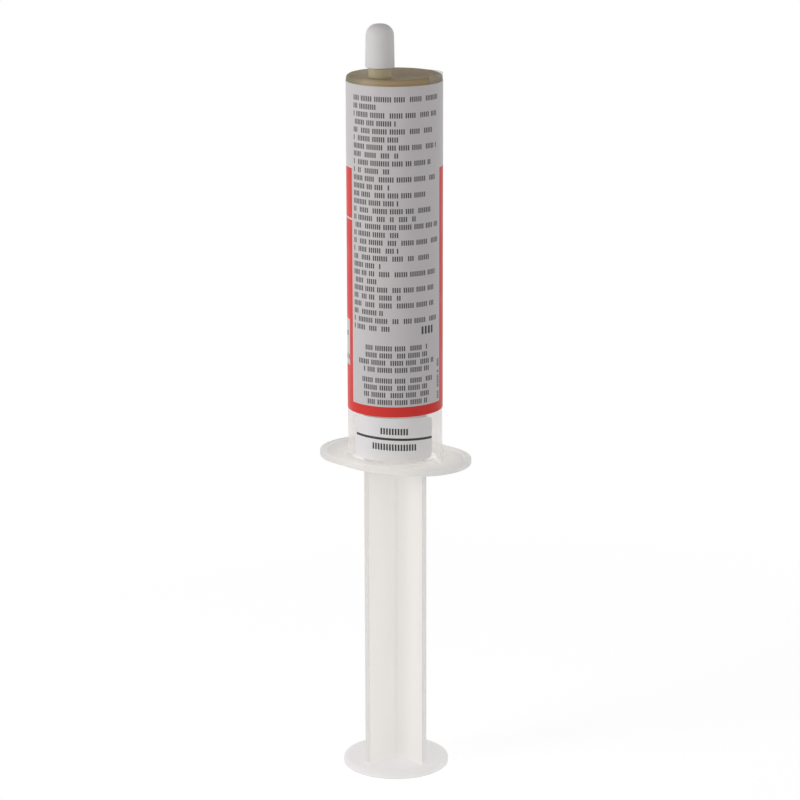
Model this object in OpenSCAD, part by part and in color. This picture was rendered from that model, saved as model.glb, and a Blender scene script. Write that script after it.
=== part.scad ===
// Grease syringe: a filled plastic barrel with an off-centre slip nozzle, a cross-ribbed plunger rod with
// a snapped-on rubber seal, a push-on tip cap, a wrap label and a small batch label.
// Millimetres. Z is the barrel's axis and points from the thumb plate to the nozzle. The origin is the middle
// of the thumb plate's underside, on which the syringe stands. X runs along the wings of the finger flange.

/* [Barrel] */
// Outer diameter of the barrel
barrel_od = 22.25; // [18:0.05:30]
// Wall thickness of the barrel
barrel_wall = 1.1; // [0.8:0.05:1.8]
// Length of the barrel, from the underside of its flange to its end face
barrel_len = 91.8; // [82:0.1:120]
// Thickness of the end wall that carries the nozzle
end_wall = 1.2; // [0.8:0.1:2]
// Rounding of the end wall's outer edge
shoulder_round = 0.9; // [0.3:0.1:1.5]
// Rounding of the corner between the bore and the end wall
bore_end_round = 0.4; // [0.2:0.05:0.8]
// Chamfer that leads the seal into the mouth
mouth_chamfer = 0.6; // [0.2:0.1:0.7]
// Height of the bead inside the mouth that stops the seal from being drawn out
stop_bead_h = 0.2; // [0.12:0.01:0.4]
// Width of that bead at its foot
stop_bead_w = 1; // [0.6:0.1:2]
// Distance of that bead's middle from the mouth
stop_bead_in = 4; // [2.5:0.1:8]

/* [Finger flange] */
// Thickness of the flange at its rim
flange_t = 1.5; // [1.2:0.1:3]
// How far the flange stands out from the barrel at its narrow sides
flange_ledge = 2.5; // [1:0.1:4]
// How far each wing reaches out from the barrel
wing_reach = 8.1; // [6:0.1:14]
// Radius of each wing's round end
wing_r = 12; // [9:0.1:13]
// Width of the raised rim round each wing
rim_w = 1.5; // [0.8:0.1:2.5]
// Depth of the hollow inside each wing's rim
wing_hollow = 0.4; // [0.1:0.05:0.8]
// Width of the level ring round the foot of the barrel
root_ring_w = 0.8; // [0.4:0.1:1.2]
// Height of the gusset between each wing and the barrel
gusset_h = 1.6; // [0.8:0.1:3]
// Length of the gusset along the wing
gusset_len = 2.6; // [1.5:0.1:4]
// Thickness of the gusset
gusset_t = 1; // [0.6:0.1:2]

/* [Nozzle] */
// Distance of the nozzle from the barrel's axis
nozzle_offset = 5.8; // [0:0.1:6.5]
// Diameter of the nozzle's neck
neck_d = 5.3; // [4.8:0.1:6]
// Length of the neck above the end face
neck_len = 2.1; // [1:0.1:4]
// Diameter at the tip of the nozzle's taper
taper_tip_d = 3.97; // [3.9:0.01:4.1]
// Length of the nozzle's taper
taper_len = 8; // [7.5:0.1:10]
// Gain in diameter per unit of length along the taper
taper_rate = 0.06; // [0.05:0.005:0.07]
// Diameter of the hole through the nozzle
outlet_d = 2.2; // [1.2:0.1:2.6]

/* [Tip cap] */
// Diameter of the cap at its rim
cap_d = 6.75; // [6:0.05:9]
// Diameter of the cap below its dome
cap_top_d = 6.4; // [6:0.05:9]
// Length of the cap
cap_len = 9.9; // [9.6:0.1:14]
// Rounding of the cap's dome
cap_round = 2.6; // [1:0.1:2.9]
// Gap between the cap's socket and the nozzle's taper
cap_fit = 0.03; // [0.01:0.01:0.1]
// Gap between the cap and the ends of the taper
cap_end_gap = 0.1; // [0.05:0.05:0.4]

/* [Plunger rod] */
// Diameter of the thumb plate
plate_d = 25.4; // [20:0.1:32]
// Thickness of the thumb plate
plate_t = 1.6; // [1:0.1:3]
// Rounding of the thumb plate's upper edge
plate_round = 0.5; // [0.1:0.1:0.8]
// Number of grip grooves round the underside of the thumb plate
groove_count = 3; // [1:1:3]
// Width of a grip groove, and of the land beside it
groove_w = 1; // [0.5:0.1:1.2]
// Depth of a grip groove
groove_depth = 0.3; // [0.1:0.1:0.5]
// Width of the level rim outside the grip grooves
plate_rim_w = 2; // [1:0.1:3]
// Length of the rod, from the thumb plate to the seal
rod_len = 90.4; // [84:0.1:130]
// Thickness of each cross rib
rib_t = 1.5; // [0.8:0.1:2.5]
// Gap between the ribs and the stop bead
rib_clear = 0.125; // [0.05:0.005:0.5]
// Diameter of the rounded core where the ribs cross
core_d = 2.8; // [2.2:0.1:5]
// Angle from the flange's wings to the first rib
rod_turn = -11; // [-45:1:45]
// Thickness of the seat disc behind the seal
seat_t = 1.5; // [0.8:0.1:3]

/* [Seal] */
// Length of the seal
seal_len = 10; // [8:0.1:14]
// Gap between the seal's lips and the bore
seal_clear = 0.05; // [0.02:0.01:0.1]
// Length of each sealing lip
lip_len = 1.8; // [1:0.1:2.4]
// How far the seal's waist stands back from its lips
waist_in = 0.8; // [0.3:0.1:2]
// Diameter of the snap knob inside the seal
knob_d = 11; // [9:0.1:13]
// Length of the snap knob
knob_len = 2.6; // [2:0.1:3.5]
// Diameter of the neck below the knob
knob_neck_d = 7; // [5:0.1:8]
// Length of that neck, which is the depth of the seal's mouth
knob_neck_len = 2.4; // [1.5:0.1:3.5]
// Gap between the knob and its socket
knob_clear = 0.05; // [0.02:0.01:0.1]

/* [Grease] */
// Length of the grease charge between the seal and the end wall
charge_len = 65; // [2:0.5:72]
// Gap that stands for the film between the grease and the walls
film = 0.02; // [0.01:0.01:0.05]

/* [Labels] */
// Thickness of the laminated label stock
label_t = 0.14; // [0.05:0.01:0.2]
// Thickness of the glue under a label
glue_t = 0.03; // [0.01:0.01:0.05]
// Gap between the wrap label and the rounded end edge
label_end_gap = 0.5; // [0.2:0.1:6]
// Gap between the two labels
label_gap = 0.55; // [0.1:0.01:4]
// Width of the batch label, measured round the barrel
batch_w = 20.4; // [10:0.1:26]
// Height of the batch label
batch_h = 10.3; // [6:0.1:16]
// Corner radius of the batch label
batch_round = 1.5; // [0.5:0.1:3]
// Gap between the batch label and the flange
batch_foot_gap = 0.7; // [0.1:0.1:2]
// Gap between the batch label and the gusset beside it
batch_side_gap = 0.3; // [0.1:0.1:2]

/* [Hidden] */
$fn = 96;
arc_steps = 8;
// How far one solid runs into the one it is fused with, and a cut runs past a face
bite = 0.5;
// A label's corner disc is this much larger than its rounding, so that it crosses the edges and leaves no sliver
corner_bulge = 1.02;

barrel_r = barrel_od / 2;
bore_r = barrel_r - barrel_wall;
bead_r = bore_r - stop_bead_h;
lip_r = bore_r - seal_clear;
rib_r = bead_r - rib_clear;

// Levels, from the thumb plate up
seal_z = plate_t + rod_len;
seal_top_z = seal_z + seal_len;
bore_end_z = seal_top_z + charge_len;
end_z = bore_end_z + end_wall;
flange_z = end_z - barrel_len;
flange_top_z = flange_z + flange_t;
neck_top_z = end_z + neck_len;
tip_z = neck_top_z + taper_len;
cap_z = neck_top_z + cap_end_gap;
cap_top_z = cap_z + cap_len;
knob_z = seal_z + knob_neck_len;
knob_top_z = knob_z + knob_len;
batch_z = flange_top_z + batch_foot_gap;
label_z = batch_z + batch_h + label_gap;
label_top_z = end_z - shoulder_round - label_end_gap;
bead_z = flange_z + stop_bead_in;
hollow_z = flange_top_z - wing_hollow;

// The seal's front edge clears the rounded corner at the end of the bore
seal_edge = bore_end_round + seal_clear;
knob_lead = knob_len / 2;
wing_x = barrel_r + wing_reach - wing_r;
flange_mid_r = barrel_r + flange_ledge;
// The flange is fused with the outer part of the wall, clear of the mouth's chamfer
flange_hole_r = barrel_r - (barrel_wall - mouth_chamfer) / 2;
glue_r = barrel_r + glue_t;
label_r = glue_r + label_t;

moulded_plastic = [0.90, 0.89, 0.86];
cap_white = [0.93, 0.93, 0.92];
seal_rubber = [0.80, 0.78, 0.74];
grease_ochre = [0.60, 0.54, 0.40];
label_red = [0.78, 0.20, 0.19];
label_white = [0.88, 0.87, 0.88];

// Points on a circular arc about [x, y] from one angle to the other
function arc(x, y, r, from, to) =
    [for (i = [0:arc_steps]) let (a = from + (to - from) * i / arc_steps) [x + r * cos(a), y + r * sin(a)]];

// Radius of the nozzle's taper at a height
function taper_r(z) = taper_tip_d / 2 + (tip_z - z) * taper_rate / 2;

// Flange outline: a disc round the barrel, a disc at each wing's end and the common tangents between them
module flange_outline(inset) {
    mid = flange_mid_r - inset;
    end = wing_r - inset;
    slope = (mid - end) / wing_x;
    normal = [slope, sqrt(1 - slope * slope)];
    on_mid = mid * normal;
    on_end = [wing_x, 0] + end * normal;
    circle(mid);
    for (side = [-1, 1]) translate([side * wing_x, 0]) circle(end);
    polygon([for (p = [[1, 1], [-1, 1], [-1, -1], [1, -1]], q = p[0] * p[1] > 0 ? [on_end, on_mid] : [on_mid, on_end])
        [p[0] * q[0], p[1] * q[1]]]);
}

// Finger flange: a plate with a raised rim, a hollow in each wing and a gusset at each wing's foot
module finger_flange() {
    difference() {
        translate([0, 0, flange_z]) linear_extrude(flange_t) flange_outline(0);
        translate([0, 0, hollow_z]) linear_extrude(wing_hollow + bite) difference() {
            flange_outline(rim_w);
            circle(barrel_r + root_ring_w);
        }
    }
    gusset_root_r = barrel_r - barrel_wall / 2;
    for (side = [0, 180]) rotate([90, 0, side]) translate([0, 0, -gusset_t / 2]) linear_extrude(gusset_t)
        polygon([
            [gusset_root_r, hollow_z - bite], [barrel_r + gusset_len, hollow_z - bite],
            [barrel_r + gusset_len, hollow_z], [barrel_r, flange_top_z + gusset_h],
            [gusset_root_r, flange_top_z + gusset_h]
        ]);
}

// Wall of the barrel as one profile: mouth chamfer, stop bead, bore, end wall and rounded outer edge
module barrel_wall_solid() {
    half_bead = stop_bead_w / 2;
    rotate_extrude() polygon(concat(
        [[bore_r + mouth_chamfer, flange_z], [barrel_r, flange_z]],
        arc(barrel_r - shoulder_round, end_z - shoulder_round, shoulder_round, 0, 90),
        [[0, end_z], [0, bore_end_z]],
        arc(bore_r - bore_end_round, bore_end_z - bore_end_round, bore_end_round, 90, 0),
        [
            [bore_r, bead_z + half_bead], [bead_r, bead_z + half_bead / 2],
            [bead_r, bead_z - half_bead / 2], [bore_r, bead_z - half_bead],
            [bore_r, flange_z + mouth_chamfer]
        ]
    ));
}

// Off-centre slip nozzle: a stout neck below a standard taper
module nozzle() {
    translate([0, -nozzle_offset, 0]) rotate_extrude() polygon([
        [0, end_z - end_wall / 2], [neck_d / 2, end_z - end_wall / 2], [neck_d / 2, neck_top_z],
        [taper_r(neck_top_z), neck_top_z], [taper_r(tip_z), tip_z], [0, tip_z]
    ]);
}

module barrel() {
    color(moulded_plastic) difference() {
        union() {
            barrel_wall_solid();
            difference() {
                finger_flange();
                translate([0, 0, flange_z - bite]) cylinder(r = flange_hole_r, h = barrel_len);
            }
            nozzle();
        }
        translate([0, -nozzle_offset, bore_end_z - bite]) cylinder(d = outlet_d, h = tip_z - bore_end_z + 2 * bite);
    }
}

// Cap: a slightly tapered cup with a domed top, whose socket follows the nozzle's taper
module tip_cap() {
    roof_z = tip_z + cap_end_gap;
    dome_r = min(cap_round, cap_top_d / 2);
    color(cap_white) translate([0, -nozzle_offset, 0]) rotate_extrude() polygon(concat(
        [[taper_r(cap_z) + cap_fit, cap_z], [cap_d / 2, cap_z]],
        arc(cap_top_d / 2 - dome_r, cap_top_z - dome_r, dome_r, 0, 90),
        [[0, cap_top_z], [0, roof_z], [taper_r(roof_z) + cap_fit, roof_z]]
    ));
}

// Thumb plate with a rounded upper edge and ring grooves for grip in its underside
module thumb_plate() {
    plate_r = plate_d / 2;
    rotate_extrude() difference() {
        polygon(concat(
            [[0, 0], [plate_r, 0]],
            arc(plate_r - plate_round, plate_t - plate_round, plate_round, 0, 90),
            [[0, plate_t]]
        ));
        for (i = [0:groove_count - 1])
            translate([plate_r - plate_rim_w - groove_w - 2 * groove_w * i, -groove_depth])
                square([groove_w, 2 * groove_depth]);
    }
}

// Snap knob on its neck, with a conical lead that spreads the seal's mouth
module snap_knob() {
    rotate_extrude() polygon([
        [0, seal_z - seat_t / 2], [knob_neck_d / 2, seal_z - seat_t / 2], [knob_neck_d / 2, knob_z],
        [knob_d / 2, knob_z], [knob_d / 2, knob_top_z - knob_lead],
        [knob_d / 2 - knob_lead, knob_top_z], [0, knob_top_z]
    ]);
}

module plunger_rod() {
    seat_z = seal_z - knob_clear - seat_t;
    color(moulded_plastic) rotate(rod_turn) union() {
        thumb_plate();
        translate([0, 0, plate_t / 2]) linear_extrude(seat_z + seat_t / 2 - plate_t / 2) {
            square([2 * rib_r, rib_t], center = true);
            square([rib_t, 2 * rib_r], center = true);
            circle(d = core_d);
        }
        translate([0, 0, seat_z]) cylinder(r = rib_r, h = seat_t);
        snap_knob();
    }
}

// Seal: two lips, a waist between them and a socket that snaps over the knob
module plunger_seal() {
    waist_r = lip_r - waist_in;
    gap = knob_clear;
    color(seal_rubber) rotate_extrude() polygon([
        [knob_neck_d / 2 + gap, seal_z], [lip_r - waist_in / 2, seal_z], [lip_r, seal_z + waist_in / 2],
        [lip_r, seal_z + lip_len], [waist_r, seal_z + lip_len + waist_in],
        [waist_r, seal_top_z - lip_len - waist_in], [lip_r, seal_top_z - lip_len],
        [lip_r, seal_top_z - seal_edge], [lip_r - seal_edge, seal_top_z], [0, seal_top_z],
        [0, knob_top_z + gap], [knob_d / 2 - knob_lead + gap, knob_top_z + gap],
        [knob_d / 2 + gap, knob_top_z - knob_lead + gap], [knob_d / 2 + gap, knob_z - gap],
        [knob_neck_d / 2 + gap, knob_z - gap]
    ]);
}

// Grease: the column between the seal and the end wall, and the thread that fills the nozzle's hole
module grease_charge() {
    edge = bore_end_round;
    column_r = bore_r - film;
    color(grease_ochre) union() {
        rotate_extrude() polygon(concat(
            [[0, seal_top_z + film], [column_r, seal_top_z + film]],
            arc(column_r - edge, bore_end_z - film - edge, edge, 0, 90),
            [[0, bore_end_z - film]]
        ));
        translate([0, -nozzle_offset, bore_end_z - bite])
            cylinder(r = outlet_d / 2 - film, h = tip_z - bore_end_z + bite);
    }
}

module wrap_label() {
    color(label_red) translate([0, 0, label_z]) difference() {
        cylinder(r = label_r, h = label_top_z - label_z);
        translate([0, 0, -bite]) cylinder(r = glue_r, h = label_top_z - label_z + 2 * bite);
    }
}

// Batch label: a piece of a thin tube with its corners rounded off, beside the gusset of the +X wing
module batch_label() {
    arc_angle = batch_w / label_r * 180 / PI;
    edge_angle = asin((gusset_t / 2 + batch_side_gap) / glue_r);
    corner_angle = batch_round / label_r * 180 / PI;
    color(label_white) translate([0, 0, batch_z]) rotate(-edge_angle - arc_angle) difference() {
        rotate_extrude(angle = arc_angle) translate([glue_r, 0]) square([label_t, batch_h]);
        for (end = [0, 1], top = [0, 1])
            rotate(end ? arc_angle - corner_angle : corner_angle)
                translate([0, 0, top ? batch_h - batch_round : batch_round])
                    rotate([90, 0, 90]) linear_extrude(label_r + bite) corner_waste(end, top);
    }
}

// What is cut from a label's corner: a square on that corner's side, less the disc that stays
module corner_waste(end, top) {
    size = batch_round + bite;
    difference() {
        translate([end ? 0 : -size, top ? 0 : -size]) square(size);
        circle(corner_bulge * batch_round);
    }
}

barrel();
tip_cap();
plunger_rod();
plunger_seal();
grease_charge();
wrap_label();
batch_label();
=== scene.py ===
# %% [markdown]
# # A grease syringe
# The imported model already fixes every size, seat and joint of this syringe. This lesson gives it its looks:
# each moulding is drawn again as one closed skin with the small radii that a mould leaves, each label as a
# thin strip laid round the barrel, and every surface gets a finish made of nodes. Nothing is moved: a piece
# is drawn where its CAD solid stands, in millimetres, and put into the mesh in metres.

# %% Load the frame
import math

import bmesh
import bpy
import numpy as np
from mathutils import Matrix, Vector


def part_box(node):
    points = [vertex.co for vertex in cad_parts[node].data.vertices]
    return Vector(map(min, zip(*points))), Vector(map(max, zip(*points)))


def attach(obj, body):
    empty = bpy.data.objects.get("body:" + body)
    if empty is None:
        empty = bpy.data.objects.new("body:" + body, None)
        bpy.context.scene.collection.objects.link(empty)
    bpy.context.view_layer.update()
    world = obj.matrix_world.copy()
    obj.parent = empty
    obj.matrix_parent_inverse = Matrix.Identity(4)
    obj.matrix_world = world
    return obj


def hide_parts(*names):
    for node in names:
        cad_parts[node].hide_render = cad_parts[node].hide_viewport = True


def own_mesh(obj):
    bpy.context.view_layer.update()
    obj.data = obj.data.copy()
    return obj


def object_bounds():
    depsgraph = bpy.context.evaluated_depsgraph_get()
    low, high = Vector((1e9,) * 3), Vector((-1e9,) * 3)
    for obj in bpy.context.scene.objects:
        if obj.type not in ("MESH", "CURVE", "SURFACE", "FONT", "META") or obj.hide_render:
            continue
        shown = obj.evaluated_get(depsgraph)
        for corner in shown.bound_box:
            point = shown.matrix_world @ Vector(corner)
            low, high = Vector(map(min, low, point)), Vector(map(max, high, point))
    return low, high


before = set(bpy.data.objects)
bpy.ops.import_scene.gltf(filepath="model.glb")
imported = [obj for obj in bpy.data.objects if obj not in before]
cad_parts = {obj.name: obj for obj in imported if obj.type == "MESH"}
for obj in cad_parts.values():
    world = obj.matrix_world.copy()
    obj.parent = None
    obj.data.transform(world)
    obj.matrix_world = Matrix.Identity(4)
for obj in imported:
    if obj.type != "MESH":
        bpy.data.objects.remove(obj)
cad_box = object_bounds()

MM = 0.001


def reach(name):
    """Lowest and highest corner of a CAD node, in millimetres."""
    return [np.array(corner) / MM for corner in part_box(name)]


barrel_low, barrel_high = reach("barrel")
cap_low, cap_high = reach("tip_cap")
rod_high = reach("plunger_rod")[1]
seal_low, seal_high = reach("plunger_seal")
wrap_low, wrap_high = reach("wrap_label")
batch_low, batch_high = reach("batch_label")
print(len(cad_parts), "CAD nodes, barrel from", barrel_low.round(2), "to", barrel_high.round(2))

# %% [markdown]
# ## Camera
# The photograph was taken from a little above, from in front of the nozzle and towards one wing of the
# flange, with a long lens: the syringe's sides run almost parallel. Distance and lens were worked out from
# the ellipses of the thumb plate, the flange and the end face, so the camera is given as a place, three
# angles and a focal length.

# %% Camera
CAMERA_AT = (0.37941, -0.56042, 0.26574)  # metres
CAMERA_TURN = math.radians(34.0)
CAMERA_PITCH, CAMERA_ROLL = 0.2530, -0.0023  # radians
SENSOR = 36.0
FOCAL_SHARE = 3.6983  # focal length over the picture's width

camera_data = bpy.data.cameras.new("camera")
camera_data.sensor_width = SENSOR
camera_data.lens = FOCAL_SHARE * SENSOR
camera = bpy.data.objects.new("camera", camera_data)
bpy.context.scene.collection.objects.link(camera)
camera.matrix_world = (
    Matrix.Translation(CAMERA_AT)
    @ Matrix.Rotation(CAMERA_TURN, 4, "Z")
    @ Matrix.Rotation(math.pi / 2 - CAMERA_PITCH, 4, "X")
    @ Matrix.Rotation(CAMERA_ROLL, 4, "Z")
)
bpy.context.scene.camera = camera
facing = CAMERA_TURN - math.pi / 2  # angle round the barrel that looks at the camera
print("lens", round(camera_data.lens, 1), "mm, camera faces angle", round(math.degrees(facing), 1))

# %% [markdown]
# ## Skins
# A moulded piece could be cut and bevelled from primitives, but a syringe is nearly all turned shapes, and
# its odd parts, the wings, the ribs and the off-centre nozzle, are still a radius at each angle. So every
# piece is a grid of points: one way runs round, the other follows the profile. Joining the grid gives a
# closed skin with no Boolean cuts, and its edges are rounded in the profile itself.

# %% Grid to mesh
PRINT_MAP = "print_mm"
SHARP_EDGE = math.radians(38)
WELD = 1e-8  # metres


def skin(name, grid, close_rows=False, chart=None):
    """Closed mesh from a grid of points (rows, columns, xyz) in millimetres. Each point is joined to the next
    in its row and in its column. Columns close round, rows too if asked, and rows shrunk to a point or a line
    are welded. A chart (rows, columns, 2) becomes a UV map in millimetres."""
    rows, columns = grid.shape[:2]
    index = np.arange(rows * columns).reshape(rows, columns)
    if close_rows:
        index = np.vstack([index, index[:1]])
    index = np.hstack([index, index[:, :1]])
    quads = np.stack([index[:-1, :-1], index[:-1, 1:], index[1:, 1:], index[1:, :-1]], -1).reshape(-1, 4)
    mesh = bpy.data.meshes.new(name)
    mesh.from_pydata((grid.reshape(-1, 3) * MM).tolist(), [], quads.tolist())
    if chart is not None:
        layer = mesh.uv_layers.new(name=PRINT_MAP)
        layer.data.foreach_set("uv", chart.reshape(-1, 2)[quads.ravel()].astype(np.float32).ravel())
    shape = bmesh.new()
    shape.from_mesh(mesh)
    bmesh.ops.remove_doubles(shape, verts=shape.verts, dist=WELD)
    bmesh.ops.dissolve_degenerate(shape, edges=shape.edges, dist=WELD)
    bmesh.ops.recalc_face_normals(shape, faces=shape.faces)
    if shape.calc_volume(signed=True) < 0:
        bmesh.ops.reverse_faces(shape, faces=shape.faces)
    open_edges = sum(not edge.is_manifold for edge in shape.edges)
    volume = shape.calc_volume() / MM**3
    shape.to_mesh(mesh)
    shape.free()
    mesh.shade_smooth()
    mesh.set_sharp_from_angle(angle=SHARP_EDGE)
    piece = bpy.data.objects.new(name, mesh)
    bpy.context.scene.collection.objects.link(piece)
    print(f"{name}: {len(mesh.polygons)} faces, {volume:.1f} mm3, {open_edges} open edges")
    return piece


def seat(piece, body, slot, material, *nodes):
    """Hand a piece to the frame: its finish, the body that carries it, and the CAD node it stands for. The
    slot it is given is not used."""
    piece.data.materials.append(material)
    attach(piece, body)
    if nodes:
        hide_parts(*nodes)
    print(f"{piece.name} rides on {body}, its finish has {len(material.node_tree.nodes)} nodes")


# %% Profiles
def smooth(t):
    """Cubic step: 0 up to 0, 1 from 1 on, and 3 t^2 - 2 t^3 between."""
    t = np.clip(t, 0, 1)
    return t * t * (3 - 2 * t)


def mix(a, b, t):
    """Straight blend from a to b."""
    return a + (b - a) * t


def rounded(corners, steps=6):
    """Profile through (r, z) and (r, z, radius) corners. A corner with a radius becomes the arc that touches
    both of its legs: the arc's centre lies on their bisector, radius / sin(half the angle) from the
    corner."""
    points = np.array([corner[:2] for corner in corners], float)
    pieces = [points[:1]]
    for before, here, after, corner in zip(points, points[1:], points[2:], corners[1:]):
        if len(corner) < 3:
            pieces.append(here[None])
            continue
        legs = np.array([before - here, after - here])
        legs /= np.linalg.norm(legs, axis=1, keepdims=True)
        half = np.arccos(legs[0] @ legs[1]) / 2
        bisector = legs.sum(0) / np.linalg.norm(legs.sum(0))
        centre = here + bisector * corner[2] / np.sin(half)
        ends = here + legs * corner[2] / np.tan(half) - centre
        sweep = np.pi - 2 * half
        t = np.linspace(0, 1, steps + 1)[:, None]
        arc = np.sin((1 - t) * sweep) * ends[0] + np.sin(t * sweep) * ends[1]
        pieces.append(centre + arc / np.sin(sweep))
    pieces.append(points[-1:])
    return np.concatenate(pieces)


def rings(angle, r, z, centre_y=0.0):
    """Rows of points round the axis x = 0, y = centre_y: x = r cos a, y = centre_y + r sin a. The radius and
    the height may change from row to row, and round a row."""
    flat = np.zeros_like(angle)
    return np.stack(np.broadcast_arrays(r * np.cos(angle), centre_y + r * np.sin(angle), z + flat), -1)


def lathe(name, profile, turns=144, centre_y=0.0):
    """Surface of revolution: the profile's points (r, z) swing round the axis x = 0, y = centre_y."""
    angle = np.linspace(0, 2 * np.pi, turns, endpoint=False)
    return skin(name, rings(angle, profile[:, :1], profile[:, 1:], centre_y))


print("a rounded corner takes", len(rounded([(0, 0), (1, 0, 0.5), (1, 1)])) - 2, "points")

# %% [markdown]
# ## Finishes
# A finish could be one colour on a shader, but plastic, rubber, grease and paper each scatter light in their
# own way and none is quite even. Each finish below starts from the same shader and adds what its material
# has: haze and flow in moulded plastic, a dull grain on rubber, streaks in grease. The patterns are fixed in
# the part's own space, so they stay put when the syringe moves. A small class lets sockets be added and
# compared like numbers, so that zones and layouts read as arithmetic.

# %% Nodes and sums
def node(tree, kind, inputs=(), **settings):
    """Add a node, set its properties, and fill or link its inputs by name or number."""
    made = tree.nodes.new(kind)
    for name, value in settings.items():
        setattr(made, name, value)
    for key, value in dict(inputs).items():
        value = value.socket if isinstance(value, Sum) else value
        if isinstance(value, bpy.types.NodeSocket):
            tree.links.new(value, made.inputs[key])
        else:
            made.inputs[key].default_value = value
    return made


class Sum:
    """A socket that can be used in sums: every operation adds one Math node."""

    def __init__(self, tree, socket):
        self.tree, self.socket = tree, socket

    def math(self, operation, *others):
        made = node(self.tree, "ShaderNodeMath", enumerate((self, *others)), operation=operation)
        return Sum(self.tree, made.outputs[0])

    def __add__(self, other):
        return self.math("ADD", other)

    def __sub__(self, other):
        return self.math("SUBTRACT", other)

    def __mul__(self, other):
        return self.math("MULTIPLY", other)

    def __truediv__(self, other):
        return self.math("DIVIDE", other)

    def __gt__(self, other):
        return self.math("GREATER_THAN", other)

    def __lt__(self, other):
        return self.math("LESS_THAN", other)

    def __or__(self, other):
        return self.math("MAXIMUM", other)

    def floor(self):
        return self.math("FLOOR")

    def near(self, middle, width):
        """1 where the value is less than half a width from the middle, else 0."""
        return (self - middle).math("ABSOLUTE") < width / 2

    def within(self, low, high):
        """1 between low and high, else 0."""
        return (self > low) * (self < high)


# %% Places and patterns
def height_of(tree, where):
    """Height above the floor, in millimetres."""
    return Sum(tree, node(tree, "ShaderNodeSeparateXYZ", {0: where}).outputs["Z"]) / MM


def from_axis(tree, where, centre_y=0.0):
    """Distance in millimetres from the upright line x = 0, y = centre_y, by default the syringe's axis."""
    flat = {0: where, 1: (1 / MM, 1 / MM, 0), 2: (0, -centre_y, 0)}
    flat = node(tree, "ShaderNodeVectorMath", flat, operation="MULTIPLY_ADD").outputs[0]
    return Sum(tree, node(tree, "ShaderNodeVectorMath", {0: flat}, operation="LENGTH").outputs["Value"])


def towards(tree, where, angle):
    """Distance in millimetres from the axis towards an angle: x cos a + y sin a."""
    way = (math.cos(angle) / MM, math.sin(angle) / MM, 0)
    made = node(tree, "ShaderNodeVectorMath", {0: where, 1: way}, operation="DOT_PRODUCT")
    return Sum(tree, made.outputs["Value"])


def grain(tree, where, size_mm, detail=3.0, rough=0.5, stretch=(1, 1, 1)):
    """Noise whose lumps are about size_mm across, drawn out along an axis by a stretch above 1."""
    spread = node(tree, "ShaderNodeMapping", {"Vector": where, "Scale": [1 / times for times in stretch]})
    noise = {"Vector": spread.outputs[0], "Scale": 1 / (size_mm * MM), "Detail": detail, "Roughness": rough}
    return Sum(tree, node(tree, "ShaderNodeTexNoise", noise).outputs["Fac"])


def ranged(tree, value, low, high, at=(0.3, 0.7)):
    """Value between two points carried over to a range from low to high."""
    inputs = {"Value": value, "From Min": at[0], "From Max": at[1], "To Min": low, "To Max": high}
    return Sum(tree, node(tree, "ShaderNodeMapRange", inputs).outputs["Result"])


def tinted(tree, share, first, second):
    """Colour between two colours by a share. Each colour is three numbers or a socket."""
    ends = [end if isinstance(end, bpy.types.NodeSocket) else (*end, 1) for end in (first, second)]
    inputs = {"Factor": share, "A": ends[0], "B": ends[1]}
    return node(tree, "ShaderNodeMix", inputs, data_type="RGBA").outputs["Result"]


# %% Shaders
SHINE_LEAST, SHINE_GAIN, SHINE_POWER = 0.03, 0.3, 5.0


def finish(name, **values):
    """A node material and its shader, with constant values set on the shader's own sockets."""
    material = bpy.data.materials.new(name)
    material.use_nodes = True
    tree = material.node_tree
    shader = tree.nodes["Principled BSDF"]
    for key, value in values.items():
        shader.inputs[key.replace("_", " ")].default_value = value
    where = tree.nodes.new("ShaderNodeTexCoord").outputs["Object"]
    return material, tree, shader, where


def dress(tree, shader, colour, rough, fine, depth_mm, strength=0.5):
    """Give a shader its colour, its roughness, and a bump as deep as depth_mm from a fine pattern."""
    bump = {"Height": fine, "Distance": depth_mm * MM, "Strength": strength}
    tree.links.new(colour, shader.inputs["Base Color"])
    tree.links.new(rough.socket, shader.inputs["Roughness"])
    tree.links.new(node(tree, "ShaderNodeBump", bump).outputs["Normal"], shader.inputs["Normal"])


def lets_light_through(material, shader, colour, glow, clear, roughness):
    """Turn a shader into plastic that passes light. A share, glow, of its body scatters light straight
    through; a share, clear, of its surface can be seen through, with a little shine left on it: the least
    shine plus a gain times a power of how far the surface turns away."""
    tree = material.node_tree
    through = node(tree, "ShaderNodeBsdfTranslucent", {"Color": colour}).outputs[0]
    milky = node(tree, "ShaderNodeMixShader", {0: glow, 1: shader.outputs[0], 2: through}).outputs[0]
    turned_away = Sum(tree, node(tree, "ShaderNodeLayerWeight", {"Blend": 0.5}).outputs["Facing"])
    shine = turned_away.math("POWER", SHINE_POWER) * SHINE_GAIN + SHINE_LEAST
    open_skin = node(tree, "ShaderNodeBsdfTransparent").outputs[0]
    gloss = node(tree, "ShaderNodeBsdfAnisotropic", {"Roughness": roughness}).outputs[0]
    glassy = node(tree, "ShaderNodeMixShader", {0: shine, 1: open_skin, 2: gloss}).outputs[0]
    body = node(tree, "ShaderNodeMixShader", {0: clear, 1: milky, 2: glassy}).outputs[0]
    tree.links.new(body, tree.nodes["Material Output"].inputs["Surface"])


# %% [markdown]
# ## Barrel
# The barrel is one injection moulding in natural polypropylene: a tube with a flat end wall, a stubby nozzle
# set to one side, and a finger flange at its mouth. It could be a tube joined to a plate and a cone, but the
# joints between them are what gives a moulding away. Here one skin runs from the flange's foot up the wall,
# over the shoulder, slides off centre across the end face, goes over the nozzle and back down its hole, and
# returns by the bore and the mouth round the flange's rim. Sliding the centre of each ring is enough to lead
# a turned wall into an off-centre nozzle.

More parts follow.
